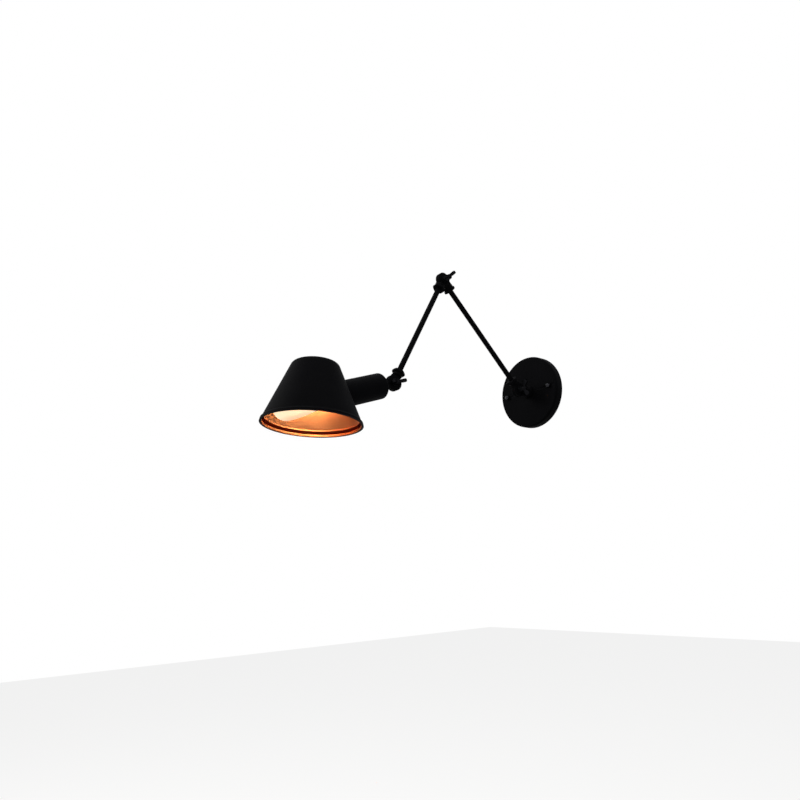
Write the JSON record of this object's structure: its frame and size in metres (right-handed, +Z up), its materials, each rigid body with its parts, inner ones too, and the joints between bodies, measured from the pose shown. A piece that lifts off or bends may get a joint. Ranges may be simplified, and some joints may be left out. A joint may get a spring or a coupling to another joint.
{
  "type": "swing arm wall sconce",
  "caption": "Wall lamp with a round canopy, swivelling base, jointed arms locked by wing nuts, and a tilting cone shade with its socket cup entering from the side.",
  "frame": {"origin": "centre of the canopy's back rim, on the wall's surface", "axes": "+Z up the wall, -Y out of the wall into the room, +X to the right seen from the room; the wing nuts are on the +X side"},
  "size_m": [0.1304, 0.4997, 0.2772],
  "materials": {
    "black_paint": "matt black powder coat",
    "zinc_steel": "zinc plated",
    "blackened_steel": "black oxide, satin",
    "fibre": "red vulcanised fibre, matt",
    "brass": "plain brass",
    "block_plastic": "moulded white nylon",
    "phenolic": "moulded black phenolic",
    "pvc": "black cable sheath",
    "bulb_glass": "frosted, lit",
    "bulb_metal": "plain rolled shell",
    "spring_steel": "hardened, dark",
    "green_screw": "green plated earth screw"
  },
  "bodies": {
    "wall_plate": {"canopy": "black_paint", "mounting_strap": "zinc_steel", "canopy_studs": "zinc_steel", "stud_nuts": "zinc_steel", "canopy_cap_nuts": "blackened_steel", "earth_screw": "green_screw", "earth_washer": "brass", "terminal_block": "block_plastic", "terminal_clamps": "brass", "terminal_screws": "zinc_steel", "swivel_plain_washer": "zinc_steel", "swivel_wave_washer": "spring_steel"},
    "base_stem": {"base_stem_knuckle": "black_paint", "swivel_fibre_washer": "fibre", "swivel_lock_nut": "zinc_steel", "base_hinge_bolt": "blackened_steel", "base_hinge_friction_washer": "fibre", "base_hinge_washer": "blackened_steel", "base_hinge_disc_springs": "spring_steel"},
    "base_wing_nut": {"base_hinge_wing_nut": "blackened_steel"},
    "lower_arm": {"arm_one_lower_knuckle": "black_paint", "arm_one_lower_lock_nut": "black_paint", "arm_one_tube": "black_paint", "arm_one_cable": "pvc", "arm_one_upper_lock_nut": "black_paint", "arm_one_upper_knuckle": "black_paint"},
    "upper_arm": {"arm_two_upper_knuckle": "black_paint", "arm_two_upper_lock_nut": "black_paint", "arm_two_tube": "black_paint", "arm_two_cable": "pvc", "arm_two_lower_lock_nut": "black_paint", "arm_two_lower_knuckle": "black_paint", "elbow_hinge_bolt": "blackened_steel", "elbow_hinge_friction_washer": "fibre", "elbow_hinge_washer": "blackened_steel", "elbow_hinge_disc_springs": "spring_steel", "head_hinge_bolt": "blackened_steel", "head_hinge_friction_washer": "fibre", "head_hinge_washer": "blackened_steel"},
    "elbow_wing_nut": {"elbow_hinge_wing_nut": "blackened_steel"},
    "head_wing_nut": {"head_hinge_wing_nut": "blackened_steel"},
    "head": {"head_knuckle": "black_paint", "head_nipple": "zinc_steel", "head_lock_nut": "zinc_steel", "socket_cup": "black_paint", "lampholder_cap": "phenolic", "lampholder_body": "phenolic", "lampholder_screw_shell": "brass", "lampholder_contact": "brass", "shade_ring": "phenolic", "shade": "black_paint"},
    "bulb": {"bulb_contact": "brass", "bulb_insulator": "phenolic", "bulb_cap": "bulb_metal", "bulb_glass": "bulb_glass"}
  },
  "joints": [
    {"name": "base_swivel", "type": "hinge", "parent": "wall_plate", "child": "base_stem", "pos_m": [0, 0, 0], "axis": [0, -1, 0], "range_deg": [-90, 90]},
    {"name": "base_hinge", "type": "hinge", "parent": "base_stem", "child": "lower_arm", "pos_m": [0, -0.039, 0], "axis": [1, 0, 0], "range_deg": [-45, 90]},
    {"name": "elbow_hinge", "type": "hinge", "parent": "lower_arm", "child": "upper_arm", "pos_m": [0, -0.19508, 0.15717], "axis": [1, 0, 0], "range_deg": [-105, 9]},
    {"name": "head_hinge", "type": "hinge", "parent": "upper_arm", "child": "head", "pos_m": [0, -0.30175, -0.02835], "axis": [1, 0, 0], "range_deg": [-76, 95]},
    {"name": "base_wing_nut_turn", "type": "hinge", "parent": "base_stem", "child": "base_wing_nut", "pos_m": [0, -0.039, 0], "axis": [1, 0, 0], "continuous": true},
    {"name": "elbow_wing_nut_turn", "type": "hinge", "parent": "upper_arm", "child": "elbow_wing_nut", "pos_m": [0, -0.19508, 0.15717], "axis": [1, 0, 0], "continuous": true},
    {"name": "head_wing_nut_turn", "type": "hinge", "parent": "upper_arm", "child": "head_wing_nut", "pos_m": [0, -0.30175, -0.02835], "axis": [1, 0, 0], "continuous": true},
    {"name": "bulb_turn", "type": "hinge", "parent": "head", "child": "bulb", "pos_m": [0, -0.30175, -0.02835], "axis": [0, -0.9483, -0.3173], "continuous": true}
  ]
}
